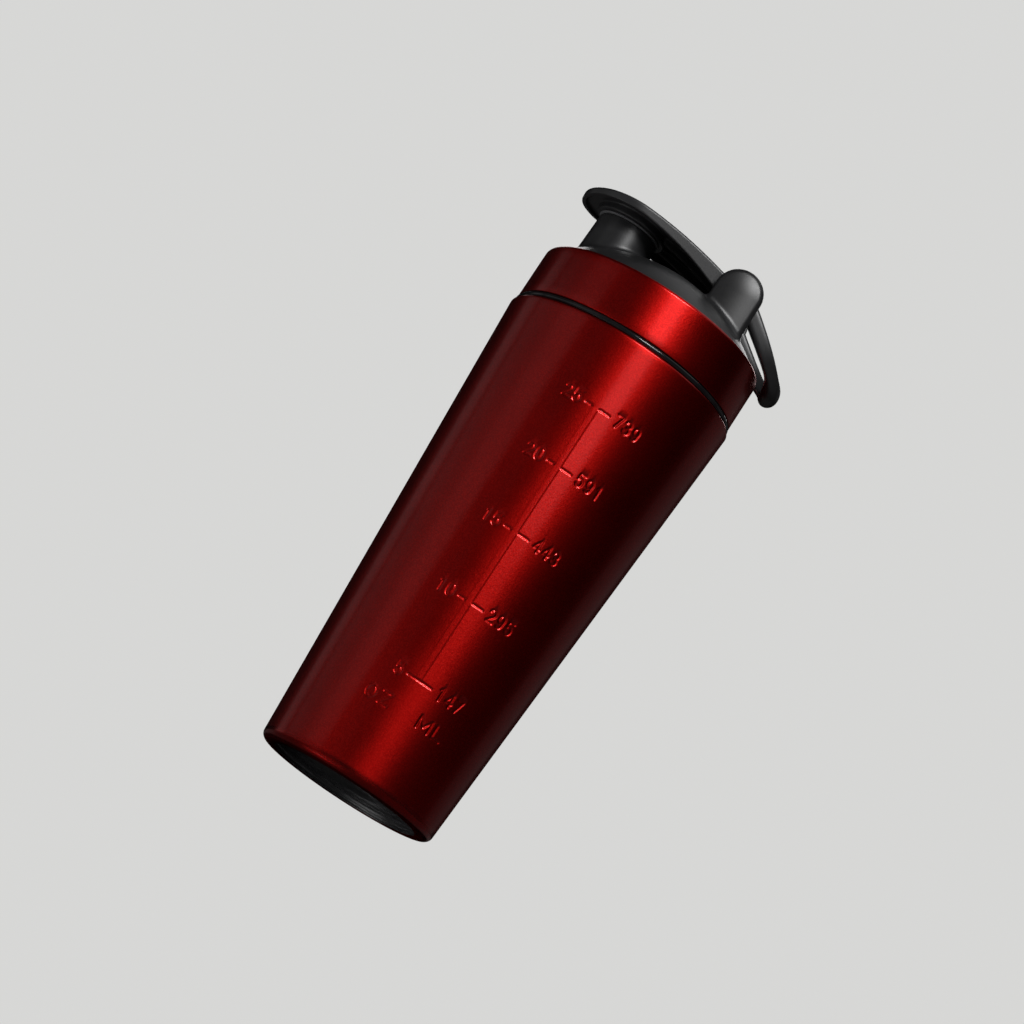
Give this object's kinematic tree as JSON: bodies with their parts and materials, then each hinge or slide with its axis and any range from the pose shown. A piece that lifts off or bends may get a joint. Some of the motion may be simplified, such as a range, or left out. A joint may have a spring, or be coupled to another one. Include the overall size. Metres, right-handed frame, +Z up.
{
  "type": "protein shaker bottle",
  "caption": "Tapered steel shaker cup with a threaded neck, domed screw lid, drinking spout under a hinged flip cap, swinging carry loop and a wire mixing ball.",
  "frame": {"origin": "centre of the cup's foot, on the surface it stands on", "axes": "+Z up the bottle's axis, -X towards the spout, +X towards the hinge and the carry loop, -Y towards the measuring scale"},
  "size_m": [0.0997, 0.0914, 0.2315],
  "materials": {
    "red_lacquer": "translucent red lacquer over fine metallic flake, satin gloss",
    "bare_steel": "satin stainless steel",
    "black_plastic": "fine satin moulded polypropylene",
    "black_gloss_rubber": "glossy black moulded ring",
    "grey_silicone": "dark translucent-looking silicone, matt"
  },
  "bodies": {
    "cup": {"cup_body": "red_lacquer", "base_plate": "bare_steel", "neck_collar": "black_plastic", "shoulder_ring": "black_gloss_rubber"},
    "seal_carrier": {"lid_seal": "grey_silicone"},
    "lid": {"lid_body": "black_plastic", "lid_band": "red_lacquer", "hinge_pin": "bare_steel"},
    "cap": {"flip_cap": "black_plastic", "spout_plug": "grey_silicone"},
    "loop": {"carry_loop": "black_plastic"},
    "ball": {"whisk_ball": "bare_steel"}
  },
  "joints": [
    {"name": "lid_rise", "type": "slide", "parent": "cup", "child": "seal_carrier", "axis": [0, 0, 1], "range_m": [0, 0.0181]},
    {"name": "lid_turn", "type": "hinge", "parent": "seal_carrier", "child": "lid", "pos_m": [0, 0, 0.19], "axis": [0, 0, 1], "range_deg": [0, 540]},
    {"name": "cap_flip", "type": "hinge", "parent": "lid", "child": "cap", "pos_m": [0.0219, 0, 0.2219], "axis": [0, 1, 0], "range_deg": [0, 100]},
    {"name": "loop_swing", "type": "hinge", "parent": "lid", "child": "loop", "pos_m": [0.0219, 0, 0.2219], "axis": [0, 1, 0], "range_deg": [-66, 0]},
    {"name": "ball_travel", "type": "slide", "parent": "cup", "child": "ball", "axis": [0, 0, 1], "range_m": [0, 0.125]}
  ],
  "couplings": [
    {"joint": "lid_rise", "follows": "lid_turn", "m_per_rad": 0.0019099}
  ]
}
